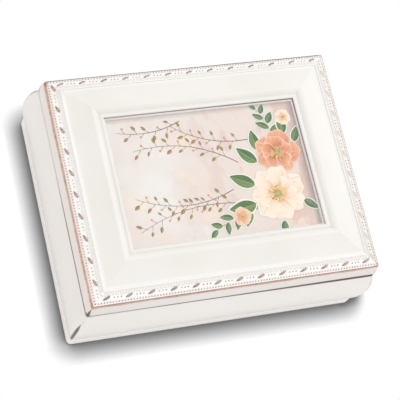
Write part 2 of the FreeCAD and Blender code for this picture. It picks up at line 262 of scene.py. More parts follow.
class Finish:
    """A procedural material: one Principled shader and the object's own coordinates in metres."""

    def __init__(self, name, sockets):
        self.data = bpy.data.materials.new(name)
        self.data.use_nodes = True
        self.tree = self.data.node_tree
        self.shader = self.tree.nodes["Principled BSDF"]
        self.coords = Num(self.tree, self.add("ShaderNodeTexCoord").outputs["Object"])
        split = self.add("ShaderNodeSeparateXYZ")
        feed(self.tree, self.coords, split.inputs[0])
        self.x, self.y, self.z = [Num(self.tree, socket) for socket in split.outputs]
        for socket, value in sockets.items():
            self.put(socket, value)

    def add(self, kind):
        return self.tree.nodes.new(kind)

    def put(self, socket, value):
        feed(self.tree, value, self.shader.inputs[socket])

    def noise(self, scale, detail=2.0, stretch=None, at=None):
        node = self.add("ShaderNodeTexNoise")
        node.inputs["Scale"].default_value = scale
        node.inputs["Detail"].default_value = detail
        at = at or self.coords
        if stretch:
            bend = self.add("ShaderNodeVectorMath")
            bend.operation = "MULTIPLY"
            feed(self.tree, at, bend.inputs[0])
            bend.inputs[1].default_value = stretch
            at = Num(self.tree, bend.outputs[0])
        feed(self.tree, at, node.inputs["Vector"])
        return Num(self.tree, node.outputs["Fac"])

    def mix(self, amount, a, b):
        node = self.add("ShaderNodeMix")
        node.data_type = "RGBA"
        feed(self.tree, amount, node.inputs[0])
        feed(self.tree, a, node.inputs[MIX_FIRST])
        feed(self.tree, b, node.inputs[MIX_SECOND])
        return Num(self.tree, node.outputs[MIX_RESULT])

    def attribute(self, name, output="Color"):
        node = self.add("ShaderNodeAttribute")
        node.attribute_name = name
        return Num(self.tree, node.outputs[output])

    def channels(self, colour):
        node = self.add("ShaderNodeSeparateColor")
        feed(self.tree, colour, node.inputs[0])
        return [Num(self.tree, socket) for socket in node.outputs]

    def bump(self, height, depth, strength=1.0, edge=0.0):
        """Relief of a depth in metres; edge > 0 also rounds sharp corners by that radius."""
        node = self.add("ShaderNodeBump")
        node.inputs["Strength"].default_value = strength
        node.inputs["Distance"].default_value = depth
        feed(self.tree, height, node.inputs["Height"])
        if edge:
            soft = self.add("ShaderNodeBevel")
            soft.samples = EDGE_SAMPLES
            soft.inputs["Radius"].default_value = edge
            self.tree.links.new(soft.outputs[0], node.inputs["Normal"])
        self.tree.links.new(node.outputs[0], self.shader.inputs["Normal"])

    def join(self, amount, first, second):
        """Mixes two shaders on the surface."""
        node = self.add("ShaderNodeMixShader")
        feed(self.tree, amount, node.inputs[0])
        self.tree.links.new(first.outputs[0], node.inputs[1])
        self.tree.links.new(second.outputs[0], node.inputs[2])
        self.tree.links.new(node.outputs[0], self.tree.nodes["Material Output"].inputs["Surface"])

    def done(self, colour):
        self.put("Base Color", colour)
        return self.data


def ivory_ground(finish):
    """Satin paint that is never quite even; returns its colour."""
    drift = finish.noise(22.0, 3.0)
    brush = finish.noise(260.0, 3.0)
    grain = finish.noise(1900.0, 2.0)
    finish.put("Roughness", (brush * 0.16) + 0.36)
    finish.bump((grain * 0.6) + brush, 0.06 * MM, 0.35, 0.9 * MM)
    return finish.mix(drift.fade(0.35, 0.75), IVORY, IVORY_DEEP)


def sides(finish, start, full):
    """Masks of the left, right, front and back, between two insets from the lid's arris."""
    x, y = finish.x, finish.y
    left = x.fade(start - HALF_W, full - HALF_W)
    right = x.fade(HALF_W - start, HALF_W - full)
    front = y.fade(start - HALF_D, full - HALF_D)
    back = y.fade(HALF_D - start, HALF_D - full)
    return left, right, front, back


def corner_of(finish, x_sign, y_sign):
    """Mask that grows from the middle to one of the four corners."""
    return finish.x.fade(0.0, x_sign * HALF_W) * finish.y.fade(0.0, y_sign * HALF_D)


def seam_shade_and_wear(finish, left, front):
    """How red the dark line at the seam is, towards the front right, and where it is faint. The line is
    painted shade in the gap, with reddish-brown wear.
    """
    x, y = finish.x, finish.y
    red = x.fade(-25.0 * MM, HALF_W - 6.0 * MM) * y.fade(0.0, -HALF_D)
    faint = left * y.fade(-0.3 * HALF_D, 0.4 * HALF_D)
    faint = faint.most(front * x.fade(-0.4 * HALF_W, -0.8 * HALF_W) * 0.4)
    return red, faint


def lid_finish():
    finish = Finish("ivory_lid", PAINT)
    colour = ivory_ground(finish)
    x, y, z = finish.x, finish.y, finish.z
    patch = finish.noise(75.0, 3.0)
    speck = finish.noise(700.0, 3.0)
    # Inward from the arris, and height above the band
    edge_x = x.size().flip(HALF_W)
    edge_y = y.size().flip(HALF_D)
    inward = edge_x.least(edge_y)
    over = z - Z_ARRIS - (inward * (BAND_RISE / BAND_W))
    left, right, front, back = sides(finish, 4.0 * MM, 0.5 * MM)
    front_left = corner_of(finish, -1, -1)
    front_right = corner_of(finish, 1, -1)
    back_left = corner_of(finish, -1, 1)
    behind = y.fade(0.0, 0.6 * HALF_D)
    # The ornament band is whiter than the rest and fades into the panel: whiter paint, and a painted
    # highlight that lifts the band's shade, less at the right and the back where the light falls brighter
    band_white_and_highlight = inward.fade(BAND_W + 3.5 * MM, BAND_W - 0.5 * MM) * over.size().fade(1.5 * MM, 0.6 * MM)
    mitre = (edge_y - edge_x).fade(-0.5 * MM, 0.5 * MM)
    far_side = x.fade(HALF_W - BAND_W - 6.0 * MM, HALF_W - BAND_W - 3.0 * MM) * mitre
    back_band = y.fade(HALF_D - BAND_W - 6.0 * MM, HALF_D - BAND_W - 3.0 * MM)
    colour = finish.mix(band_white_and_highlight * far_side.flip() * ((back_band * -0.4) + 0.95), colour, CHALK_AND_HIGHLIGHT)
    # The ridge between band and panel: painted shade on it at the right with a painted highlight on its top,
    # and a painted highlight on it behind, over the shading line where band and panel meet
    ridge_shade = inward.between(BAND_W - 2.6 * MM, BAND_W - 0.6 * MM, BAND_W + 0.8 * MM, BAND_W + 3.4 * MM)
    colour = finish.mix(ridge_shade * far_side * 0.3, colour, IVORY_RIDGE_SHADE)
    ridge_highlight = inward.between(BAND_W - 0.5 * MM, BAND_W, BAND_W + 1.0 * MM, BAND_W + 1.4 * MM)
    colour = finish.mix(ridge_highlight * far_side * 0.5, colour, CHALK_AND_HIGHLIGHT)
    crease_highlight = inward.between(BAND_W - 1.2 * MM, BAND_W - 0.2 * MM, BAND_W + 1.2 * MM, BAND_W + 2.2 * MM)
    near_side = x.fade(-HALF_W + BAND_W + 3.0 * MM, -HALF_W + BAND_W)
    colour = finish.mix(crease_highlight * behind * far_side.most(near_side).flip() * 0.3, colour, CHALK_AND_HIGHLIGHT)
    band = inward.between(0.6 * MM, 1.0 * MM, BAND_W - 1.6 * MM, BAND_W)
    band = band * over.size().fade(0.35 * MM, 0.1 * MM)
    colour = finish.mix(band * speck.fade(0.4, 0.7) * 0.07, colour, STAIN_AND_SHADE)
    # The skirt's glaze is a little warmer than the top
    skirt = z.fade(Z_ARRIS, Z_ARRIS - 1.5 * MM)
    colour = finish.mix(skirt * ((left * 0.4) + 0.15), colour, GLAZE)
    # Copper rubbed through along the arris, most of all on the left: dark below it, and pale copper on top
    # with a painted highlight
    depth = z.flip(Z_ARRIS)
    width = (left * 0.5) + (front * 0.12) + (patch * 1.1) + 0.25 - (right * 0.5)
    rub = depth.fade(width * (2.2 * MM), width * (0.7 * MM)) * depth.fade(-0.2 * MM, 0.0)
    rub = rub * inward.fade(0.7 * MM, 0.3 * MM)
    colour = finish.mix(rub * 0.8, colour, finish.mix(speck.fade(0.4, 0.7), COPPER, UMBER_WEAR_AND_SHADE))
    # Pale copper with a painted highlight along the top of the arris, darker copper at the front and deeper
    # copper at the back left
    reach = (front * (-0.3 * MM)) + 0.85 * MM
    glow = inward.fade(reach, reach * 0.4) * z.fade(Z_ARRIS - 0.1 * MM, Z_ARRIS + 0.03 * MM)
    amount = (left.most(front) * 0.5) + (patch * 0.6)
    amount = amount * right.most(back).flip(1.1)
    colour = finish.mix(glow * amount.least(1.0), colour, finish.mix(front, COPPER_HIGHLIGHT, COPPER_DARK))
    deep = y.fade(0.5 * HALF_D, 0.95 * HALF_D) * left
    colour = finish.mix(glow * deep * 0.6, colour, COPPER)
    # At the back and the right only a thin dark line is left of it
    along = x.fade(HALF_W, -0.5 * HALF_W)
    thin = inward.fade(0.85 * MM, 0.45 * MM) * (back * ((along * -0.2) + 0.95)).most(right * 0.2)
    colour = finish.mix(thin * z.fade(Z_ARRIS - 0.1 * MM, Z_ARRIS), colour, finish.mix(right, UMBER_WEAR_AND_SHADE, STAIN_AND_SHADE))
    # Brown worn into the upright corners, darkest at their foot
    corner = edge_x.most(edge_y)
    foot = z.fade(Z_ARRIS, Z_LID)
    worn = corner.fade((foot * 0.35) * MM + 0.1 * MM, -0.5 * MM)
    worn = worn * z.fade(Z_ARRIS + 0.4 * MM, Z_ARRIS - 0.2 * MM)
    knot = z.fade(Z_LID + 2.6 * MM, Z_LID + 1.2 * MM) * corner.fade(1.2 * MM, 0.4 * MM)
    rubbed = patch.fade(0.3, 0.5).most(front_left).most(front_right)
    colour = finish.mix((worn * rubbed).most(knot * front_left.most(back_left)) * 0.95, colour, SOOT)
    bruise = corner.fade(4.0 * MM, 0.6 * MM) * back_left.most(front_right * 0.7)
    bruise = bruise * inward.fade(1.2 * MM, 0.4 * MM) * z.fade(Z_ARRIS - 1.6 * MM, Z_ARRIS - 0.5 * MM)
    colour = finish.mix(bruise * 0.8, colour, RUST)
    # Dark lines: painted shade in the seam gap along the lid's bottom edge, with reddish-brown wear towards
    # the front right, and a plum line on the inner edge of the lip
    red, faint = seam_shade_and_wear(finish, left, front)
    lid_seam_shade = z.fade((red * (1.0 * MM)) + (Z_LID + 0.55 * MM), (red * (0.5 * MM)) + (Z_LID + 0.1 * MM))
    lid_seam_shade = lid_seam_shade * inward.fade(0.2 * MM, -0.5 * MM) * ((red * 0.27) + 0.65 - (faint * 0.6))
    colour = finish.mix(lid_seam_shade, colour, finish.mix(red, UMBER_WEAR_AND_SHADE, OXBLOOD_WEAR_AND_SHADE))
    sight = x.size().fade(SIGHT_X + 0.2 * MM, SIGHT_X + 0.05 * MM)
    sight = sight * y.size().fade(SIGHT_Y + 0.2 * MM, SIGHT_Y + 0.05 * MM)
    far = y.fade(SIGHT_Y - 1.0 * MM, SIGHT_Y).most(x.fade(SIGHT_X - 1.0 * MM, SIGHT_X) * 0.6)
    sight = sight * z.fade(Z_SIGHT - 0.1 * MM, Z_SIGHT - 0.3 * MM) * ((far * -0.05) + 0.25)
    colour = finish.mix(sight, colour, PLUM)
    finish.put("Metallic", rub * 0.35)
    return finish.done(colour)


def base_finish():
    finish = Finish("ivory_base", PAINT)
    x, y, z = finish.x, finish.y, finish.z
    patch = finish.noise(60.0, 3.0)
    colour = finish.mix((patch * 0.4) + 0.25, ivory_ground(finish), IVORY_ROSY)
    # Painted light: the front wall is lighter, and the lower front and left walls more so, where the bulge
    # turns under into shade
    left, _, front, _ = sides(finish, 2.0 * MM, -1.0 * MM)
    low = z.fade(17.0 * MM, 8.0 * MM)
    pale = front * ((low * 0.55) + 0.3)
    colour = finish.mix(pale.most(left * low * 0.7), colour, IVORY_PAINTED_LIGHT)
    streak = finish.noise(220.0, 4.0, (1, 1, 0.25))
    # The wall's outline at this height, so that the upright corners can be found
    rise = (z - BELLY_Z) * (1.0 / (Z_RIM - BELLY_Z))
    swell = (rise * rise).flip() * BULGE + RIM_FLARE
    near = ((x.size() - HALF_W - swell).size()).most((y.size() - HALF_D - swell).size())
    corner = near.fade(1.5 * MM, 0.5 * MM) * z.fade(6.0 * MM, 8.0 * MM)
    rubbed = corner * patch.fade(0.44, 0.52) * streak.fade(0.3, 0.5)
    front_left = corner_of(finish, -1, -1)
    taper = z.between(7.0 * MM, 20.0 * MM, 28.0 * MM, 43.0 * MM)
    stroke = near.fade(taper * (1.7 * MM), taper * (0.6 * MM)) * front_left * streak.fade(0.2, 0.45)
    colour = finish.mix((rubbed * 0.6).most(stroke * 0.9), colour, finish.mix(stroke, UMBER_WEAR_AND_SHADE, SOOT))
    # The rim's edge under the lid: painted shade in the seam gap, with reddish-brown wear towards the front
    # right
    outward = (x.size() - HALF_W).most(y.size() - HALF_D)
    red, faint = seam_shade_and_wear(finish, left, front)
    rim = z.fade((red * (-0.9 * MM)) + (Z_RIM - 0.25 * MM), (red * (-0.4 * MM)) + (Z_RIM - 0.03 * MM))
    rim = rim * outward.fade(-0.6 * MM, 0.4 * MM) * ((red * 0.2) + 0.75 - (faint * 0.7))
    colour = finish.mix(rim, colour, finish.mix(red, UMBER_WEAR_AND_SHADE, OXBLOOD_WEAR_AND_SHADE))
    # Painted shade in the quirk above the plinth, except at the left and the front, and at the bottom of the
    # foot
    quirk_shade = (z - 6.7 * MM).size().fade(0.5 * MM, 0.1 * MM) * left.most(front).flip() * 0.2
    foot = z.fade(1.4 * MM, 0.6 * MM) * 0.3
    return finish.done(finish.mix(quirk_shade.most(foot), colour, STAIN_AND_SHADE))


def ornament_finish():
    """Beads and leaves: the paint attribute holds stain, copper and a tone for each piece."""
    finish = Finish("ivory_ornament", PAINT)
    mitre = (finish.y.size().flip(HALF_D) - finish.x.size().flip(HALF_W)).fade(-0.5 * MM, 0.5 * MM)
    far_side = finish.x.fade(HALF_W - BAND_W - 3.0 * MM, HALF_W - BAND_W) * mitre
    # Painted highlight: whiter than the paint below, except at the right, to lift the ornament's shade
    colour = finish.mix((far_side * -0.8) + 0.95, ivory_ground(finish), CHALK_AND_HIGHLIGHT)
    stain, copper, tone = finish.channels(finish.attribute("paint"))
    speck = finish.noise(900.0, 3.0)
    grime = stain * ((speck * 0.5) + 0.6).least(1.0)
    colour = finish.mix(grime, colour, finish.mix(tone, CHESTNUT, STAIN_AND_SHADE))
    glint = copper * ((speck * 0.6) + 0.55).least(1.0)
    finish.put("Metallic", glint * 0.25)
    return finish.done(finish.mix(glint, colour, COPPER_GLINT))


def slip_finish():
    """White slip with a plum line, from the paint attribute, where it meets the lip."""
    finish = Finish("ivory_slip", PAINT)
    line = finish.channels(finish.attribute("paint"))[0]
    return finish.done(finish.mix(line, ivory_ground(finish), PLUM_LINE))


def card_finish():
    """Watercolour wash: blush paper with peach and rosy clouds, a painted shadow of the lip along the right
    and back edges, and a bare margin under the lip.
    """
    finish = Finish("card_wash", PAPER)
    x, y = finish.x, finish.y
    cloud = finish.noise(26.0, 4.0)
    bloom = finish.noise(38.0, 5.0, (1.0, 1.4, 1.0))
    drip = finish.noise(60.0, 6.0, (1.3, 0.8, 1.0))
    fibre = finish.noise(1600.0, 2.0)
    colour = finish.mix(cloud.fade(0.36, 0.64), WASH, WASH_PALE)
    warm = x.fade(-0.7 * SIGHT_X, SIGHT_X)
    colour = finish.mix(warm * 0.6, colour, WASH_ROSE)
    colour = finish.mix(bloom.fade(0.50, 0.60) * ((warm * 0.25) + 0.22), colour, WASH_PEACH)
    colour = finish.mix(bloom.fade(0.60, 0.63) * 0.35, colour, WASH_CREAM)
    colour = finish.mix(drip.fade(0.54, 0.60) * ((warm * 0.4) + 0.08), colour, WASH_MAUVE)
    colour = finish.mix(drip.fade(0.40, 0.34) * 0.45, colour, WASH_LIGHT)
    colour = finish.mix(fibre.fade(0.4, 0.8) * 0.12, colour, PAPER_FIBRE)
    # Painted shadow of the lip along the card's right and back edges, darker at the right
    lip_shadow_right = x.fade(SIGHT_X - 6.0 * MM, SIGHT_X - SLIP_LEAN) * 0.85
    lip_shadow_back = y.fade(SIGHT_Y - 4.0 * MM, SIGHT_Y - SLIP_LEAN) * 0.45
    colour = finish.mix(lip_shadow_right.most(lip_shadow_back), colour, LIP_SHADOW_ON_CARD)
    bare = x.size().fade(SIGHT_X, SIGHT_X + 0.1 * MM).most(y.size().fade(SIGHT_Y, SIGHT_Y + 0.1 * MM))
    finish.bump(fibre, 0.02 * MM, 0.4)
    return finish.done(finish.mix(bare, colour, PAPER_BARE))


def print_finish(name, light, dark):
    """Printed petals or leaves: paint from the attribute, with streaks that run along each petal."""
    finish = Finish(name, PAPER)
    paint = finish.attribute("paint")
    along = finish.attribute("grain", "Vector")
    streak = finish.noise(1.0, 4.0, None, along)
    pool = finish.noise(380.0, 4.0)
    colour = finish.mix(streak.fade(0.50, 0.72) * 0.35, paint, light)
    colour = finish.mix(streak.fade(0.46, 0.28) * 0.35, colour, dark)
    finish.bump(pool, 0.01 * MM, 0.3)
    return finish.done(finish.mix(pool.fade(0.5, 0.8) * 0.2, colour, light))


def pane_finish():
    """Clear acrylic that lets light through and only mirrors at a slant."""
    finish = Finish("clear_acrylic", {"Metallic": 1.0})
    haze = finish.noise(300.0, 2.0)
    finish.put("Roughness", (haze * 0.04) + 0.02)
    clear = finish.add("ShaderNodeBsdfTransparent")
    slant = Num(finish.tree, finish.add("ShaderNodeLayerWeight").outputs["Facing"])
    finish.join((slant.power(5.0) * 0.9) + 0.02, clear, finish.shader)
    return finish.done(finish.mix(haze.fade(0.3, 0.7), CLEAR, CLEAR_WARM))


def velvet_finish():
    finish = Finish("velvet", {"Specular IOR Level": 0.1, "Sheen Weight": 0.8, "Sheen Roughness": 0.4})
    finish.put("Sheen Tint", VELVET_SHEEN)
    nap = finish.noise(24.0, 2.0, (1.0, 1.0, 0.6))
    pile = finish.noise(2600.0, 2.0)
    crush = finish.noise(140.0, 3.0)
    colour = finish.mix(nap.fade(0.3, 0.75), VELVET, VELVET_NAP)
    colour = finish.mix(pile.fade(0.4, 0.75) * 0.45, colour, VELVET_DEEP)
    finish.put("Roughness", (crush * 0.2) + 0.75)
    finish.bump((pile * 0.8) + crush, 0.15 * MM, 0.6)
    return finish.done(colour)


def felt_finish():
    finish = Finish("felt", {"Specular IOR Level": 0.1, "Sheen Weight": 0.3})
    fibre = finish.noise(1500.0, 5.0, (1.0, 0.3, 1.0))
    cross = finish.noise(1500.0, 5.0, (0.3, 1.0, 1.0))
    clump = finish.noise(260.0, 3.0)
    mat = fibre.most(cross)
    colour = finish.mix(mat.fade(0.45, 0.75), FELT_DEEP, FELT)
    finish.put("Roughness", (clump * 0.1) + 0.85)
    finish.bump(mat, 0.2 * MM, 0.8)
    return finish.done(finish.mix(clump.fade(0.4, 0.7) * 0.4, colour, FELT_PALE))


def rubber_finish():
    finish = Finish("soft_rubber", {"Specular IOR Level": 0.3})
    skin = finish.noise(900.0, 3.0)
    dust = finish.noise(170.0, 3.0)
    finish.put("Roughness", (skin * 0.25) + 0.45)
    finish.bump(skin, 0.03 * MM, 0.5)
    return finish.done(finish.mix(dust.fade(0.4, 0.7), RUBBER, RUBBER_DUSTY))


def brass_finish():
    finish = Finish("hinge_brass", {"Metallic": 1.0})
    draw = finish.noise(900.0, 3.0, (0.06, 1.0, 1.0))
    tarnish = finish.noise(160.0, 4.0)
    finish.put("Roughness", (draw * 0.22) + (tarnish * 0.2) + 0.12)
    finish.bump(draw, 0.02 * MM, 0.4, 0.12 * MM)
    return finish.done(finish.mix(tarnish.fade(0.5, 0.78), BRASS, BRASS_DULL))


def board_finish(name, pale, dark, fleck):
    """Pressed board: felted fibres and darker flecks."""
    finish = Finish(name, {"Specular IOR Level": 0.2})
    fibre = finish.noise(1100.0, 6.0, (0.35, 1.0, 1.0))
    cloud = finish.noise(90.0, 4.0)
    fleck_at = finish.noise(520.0, 2.0).fade(0.62, 0.72)
    colour = finish.mix(fibre.fade(0.35, 0.7), dark, pale)
    colour = finish.mix(cloud.fade(0.4, 0.7) * 0.35, colour, dark)
    finish.put("Roughness", (cloud * 0.2) + 0.65)
    finish.bump(fibre, 0.06 * MM, 0.6)
    return finish.done(finish.mix(fleck_at * 0.5, colour, fleck))


def link_new(name, data):
    """New object in the scene."""
    thing = bpy.data.objects.new(name, data)
    bpy.context.scene.collection.objects.link(thing)
    return thing


class Build:
    """Collects vertices, faces and paint, and makes one object of them."""

    def __init__(self):
        self.points = []
        self.faces = []
        self.paint = []
        self.grain = []

    def add(self, points, faces, paint, grain=None):
        first = len(self.points)
        self.points += points
        self.faces += [tuple(first + i for i in face) for face in faces]
        self.paint += paint
        self.grain += grain or [(0.0, 0.0, 0.0)] * len(points)

    def make(self, name, material, body, slot, smooth=True):
        mesh = bpy.data.meshes.new(name)
        mesh.from_pydata([tuple(p) for p in self.points], [], self.faces)
        layer = mesh.color_attributes.new("paint", "FLOAT_COLOR", "POINT")
        layer.data.foreach_set("color", [c for colour in self.paint for c in (*colour[:3], 1.0)])
        along = mesh.attributes.new("grain", "FLOAT_VECTOR", "POINT")
        along.data.foreach_set("vector", [c for grain in self.grain for c in grain])
        mesh.polygons.foreach_set("use_smooth", [smooth] * len(mesh.polygons))
        mesh.materials.append(material)
        piece = link_new(name, mesh)
        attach(piece, body)
        return piece


def ring_faces(levels, turns):
    """Quads between rings of points, each of which goes once round."""
    faces = []
    for level in range(levels - 1):
        for step in range(turns):
            a = level * turns + step
            b = level * turns + (step + 1) % turns
            faces.append((a, b, b + turns, a + turns))
    return faces


def boss(build, place, outline, height, paint, rings, turns, roundness):
    """Low boss over an outline: roundness shapes its dome, paint colours a point (x, y, height)."""
    points = []
    colours = []
    levels = [(1.0, -0.12)] + [(1.0 - k / rings, 1.0 - (1.0 - k / rings) ** roundness) for k in range(rings)]
    for radius, lift in levels:
        for step in range(turns):
            x, y = outline(2 * math.pi * step / turns)
            points.append(place @ Vector((x * radius, y * radius, lift * height)))
            colours.append(paint(x * radius, y * radius, max(lift, 0.0)))
    faces = ring_faces(len(levels), turns)
    top = len(points)
    points.append(place @ Vector((0, 0, height)))
    colours.append(paint(0, 0, 1.0))
    last = (len(levels) - 1) * turns
    faces += [(last + step, last + (step + 1) % turns, top) for step in range(turns)]
    build.add(points, faces, colours)


def round_outline(radius):
    return lambda turn: (radius * math.cos(turn), radius * math.sin(turn))


def teardrop(turn):
    """Leaf outline, pointed at -X and fat at +X."""
    x = math.cos(turn)
    narrow = (0.5 + 0.5 * x) ** 0.45
    y = math.sin(turn) * (0.35 + 0.65 * narrow)
    return x * LEAF_L / 2, y * LEAF_B / 2


def on_band(turn, across, along, u):
    """Place on the band of the side turned from the front: X along it, Y up its slope, Z off it."""
    spot = Matrix.Translation((along, u - across, Z_ARRIS + BAND_RISE * u / BAND_W))
    return Matrix.Rotation(math.radians(turn), 4, "Z") @ spot @ Matrix.Rotation(SLOPE, 4, "X")


def row_places(half, u, pitch, offset=0.0):
    """Even places along a row that ends at the mitres."""
    room = 2 * (half - u)
    count = int(room / pitch)
    step = room / count
    return [-room / 2 + (i + 0.5 + offset) * step for i in range(count - (1 if offset else 0))]


def lozenge_places(half, shift):
    count = int((2 * half - 2 * LOZENGE_MARGIN) / LOZENGE_PITCH) + 1
    return [(i - (count - 1) / 2) * LOZENGE_PITCH - shift for i in range(count)]


def one_paint(*paint):
    """The same paint all over a boss."""
    return lambda x, y, lift: paint


def make_ornament(material):
    """The border that runs one way round the lid: beads, leaves with seeds between, and studs."""
    rng = random.Random(BORDER_DRAWS)
    beads = Build()
    leaves = Build()
    seeds = Build()
    studs = Build()
    pits = Build()
    copper_side = {FRONT: 0.55, RIGHT: 0.8, BACK: 0.2, LEFT: 0.9}
    seed_strength = {FRONT: 1.0, RIGHT: 0.9, BACK: 1.0, LEFT: 0.6}

    def bead_paint(x, y, lift):
        return max(0.0, 0.2 - 0.8 * lift), tint * (1.0 - 0.7 * lift), 0.9

    def stud_paint(x, y, lift):
        return max(0.0, ring - 1.6 * lift), 0.0, 0.9

    for turn in (FRONT, RIGHT, BACK, LEFT):
        long_side = turn in (FRONT, BACK)
        half, across = (HALF_W, HALF_D) if long_side else (HALF_D, HALF_W)
        tint = 0.3 if turn == LEFT else 0.06
        ring = 0.6 if turn == RIGHT else 0.85
        for along in row_places(half, BEAD_U, BEAD_PITCH):
            spot = on_band(turn, across, along, BEAD_U)
            boss(beads, spot, round_outline(BEAD_R), BEAD_H, bead_paint, rings=3, turns=10, roundness=2.4)
            # A dark pit on its far side; at the right most pits have lost their stain
            dark = rng.uniform(0.7, 1.0)
            warm = rng.uniform(0.1, 0.7) * copper_side[turn]
            if turn == RIGHT:
                dark = min(1.0, max(0.0, 4.5 * dark - 3.15))
                warm = 0.5 * warm * dark
            spot = on_band(turn, across, along + BEAD_PITCH / 2, BEAD_U - 0.1 * MM)
            paint = one_paint(dark, warm, 0.2)
            boss(pits, spot, round_outline(PIT_R), PIT_H, paint, rings=1, turns=6, roundness=2.0)
        for row, u in enumerate(STUD_ROWS):
            for along in row_places(half, u, STUD_PITCH, 0.5 * row):
                spot = on_band(turn, across, along, u)
                boss(studs, spot, round_outline(STUD_R), STUD_H, stud_paint, rings=2, turns=8, roundness=2.2)
        places = lozenge_places(half, 0.0 if long_side else SIDE_SHIFT)
        for along in places:
            tone = rng.uniform(0.0, 0.2)
            bright = rng.uniform(0.7, 1.0) * copper_side[turn]
            lean = rng.uniform(-1.2, 1.2)
            cover = rng.uniform(0.5, 0.8) if turn == RIGHT else rng.uniform(0.85, 1.0)
            core = 1.2 if turn == LEFT else 0.8
            shade = 0.6
            if turn == FRONT:
                bright *= 1.0 + 0.8 * along / half
                shade = 0.35 - 0.3 * along / half

            def leaf_paint(x, y, lift):
                dark = shade - 2.0 * x / LEAF_L + lean * 2 * y / LEAF_B
                inside = min(1.0, max(0.0, 3.5 * lift - core))
                worn = 1.0
                if turn == RIGHT and y > 0 or turn == BACK and abs(y) > 0.33 * LEAF_B:
                    worn = 0.3
                return worn * cover, cover * bright * inside * (1.0 - min(1.0, max(0.0, dark))), tone

            spot = on_band(turn, across, along, LOZENGE_U) @ Matrix.Rotation(LOZENGE_SLANT, 4, "Z")
            boss(leaves, spot, teardrop, LEAF_H, leaf_paint, rings=6, turns=24, roundness=2.8)
        gaps = [places[0] - LOZENGE_PITCH] + places
        for along in gaps:
            for k in (-1, 0, 1):
                at = along + LOZENGE_PITCH / 2 + k * SEED_PITCH
                if abs(at) > half - LOZENGE_U - SEED_R:
                    continue
                dark = rng.uniform(0.65, 1.0) * seed_strength[turn]
                spot = on_band(turn, across, at, LOZENGE_U)
                paint = one_paint(dark, 0.0, 0.3)
                boss(seeds, spot, round_outline(SEED_R), SEED_H, paint, rings=2, turns=8, roundness=2.2)
    rows = {"beads": beads, "leaves": leaves, "seeds": seeds, "studs": studs, "pits": pits}
    for name, build in rows.items():
        build.make("border_" + name, material, "lid", "ivory_finish")


# Printed spray on the card

PRINT_STEP = 0.0007 * MM    # each printed mark over the one below
LEVELS = itertools.count(1)
STAMENS = 34                # in each blossom

CORAL_DEEP = (0.50, 0.12, 0.05)
CORAL = (0.73, 0.26, 0.125)
CORAL_PALE = (0.88, 0.48, 0.30)
CREAM = (0.91, 0.73, 0.55)
CREAM_WARM = (0.82, 0.45, 0.22)
CREAM_PALE = (0.95, 0.87, 0.76)
GOLD = (0.72, 0.42, 0.09)
GOLD_PALE = (0.90, 0.72, 0.32)
MOSS = (0.36, 0.37, 0.11)
LEAF_GREEN = (0.06, 0.15, 0.045)
LEAF_PALE = (0.24, 0.38, 0.15)
LEAF_BLUE = (0.05, 0.14, 0.085)
LEAF_LIME = (0.42, 0.50, 0.20)
PAPER_WHITE = (0.95, 0.94, 0.91)
TWIG = (0.22, 0.14, 0.07)


def mix3(a, b, t):
    t = min(1.0, max(0.0, t))
    return tuple(p + (q - p) * t for p, q in zip(a, b))


def blade(build, at, turn, length, width, profile, paint, bend=0.0, steps=14, ribs=6, frill=0.0, seed=0.0,
          level=None):
    """Flat petal or leaf from a foot point; profile(t) is its half width, paint(t, w) its colour."""
    points = []
    colours = []
    grain = []
    faces = []
    z = Z_CARD + (level or next(LEVELS)) * PRINT_STEP
    for i in range(steps + 1):
        t = math.sin(0.5 * math.pi * i / steps)
        heading = turn + bend * t
        axis = Vector((math.cos(heading), math.sin(heading)))
        side = Vector((-axis.y, axis.x))
        for j in range(-ribs, ribs + 1):
            w = j / ribs
            wave = 1.0 + frill * t * t * math.cos(5.0 * w * profile(t) + seed)
            spot = Vector(at) + axis * (length * t * wave) + side * (w * width / 2 * profile(t))
            points.append(Vector((spot.x, spot.y, z)))
            colours.append(paint(t, w))
            grain.append((5.0 * w + 7.0 * seed, 1.2 * t, seed))
    row = 2 * ribs + 1
    for i in range(steps):
        for j in range(row - 1):
            a = i * row + j
            faces.append((a, a + 1, a + row + 1, a + row))
    build.add(points, faces, colours, grain)


def petal_shape(t):
    """Narrow foot and a broad round end."""
    if t < 0.62:
        return 0.14 + 0.86 * math.sin(0.5 * math.pi * t / 0.62)
    return math.sqrt(max(0.0, 1.0 - ((t - 0.62) / 0.38) ** 2))


def leaf_shape(t):
    return max(0.0, math.sin(math.pi * t ** 0.8)) ** 0.85


def dot(build, at, radius, inner, outer, level=None):
    """Small round mark, such as an anther or a berry."""
    foot = (at[0] - radius, at[1])
    blade(build, foot, 0.0, 2 * radius, 2 * radius, lambda t: 2.0 * math.sqrt(max(0.0, t * (1 - t))),
          lambda t, w: mix3(inner, outer, 2.0 * math.hypot(t - 0.5, 0.5 * w)), steps=6, ribs=2, level=level)


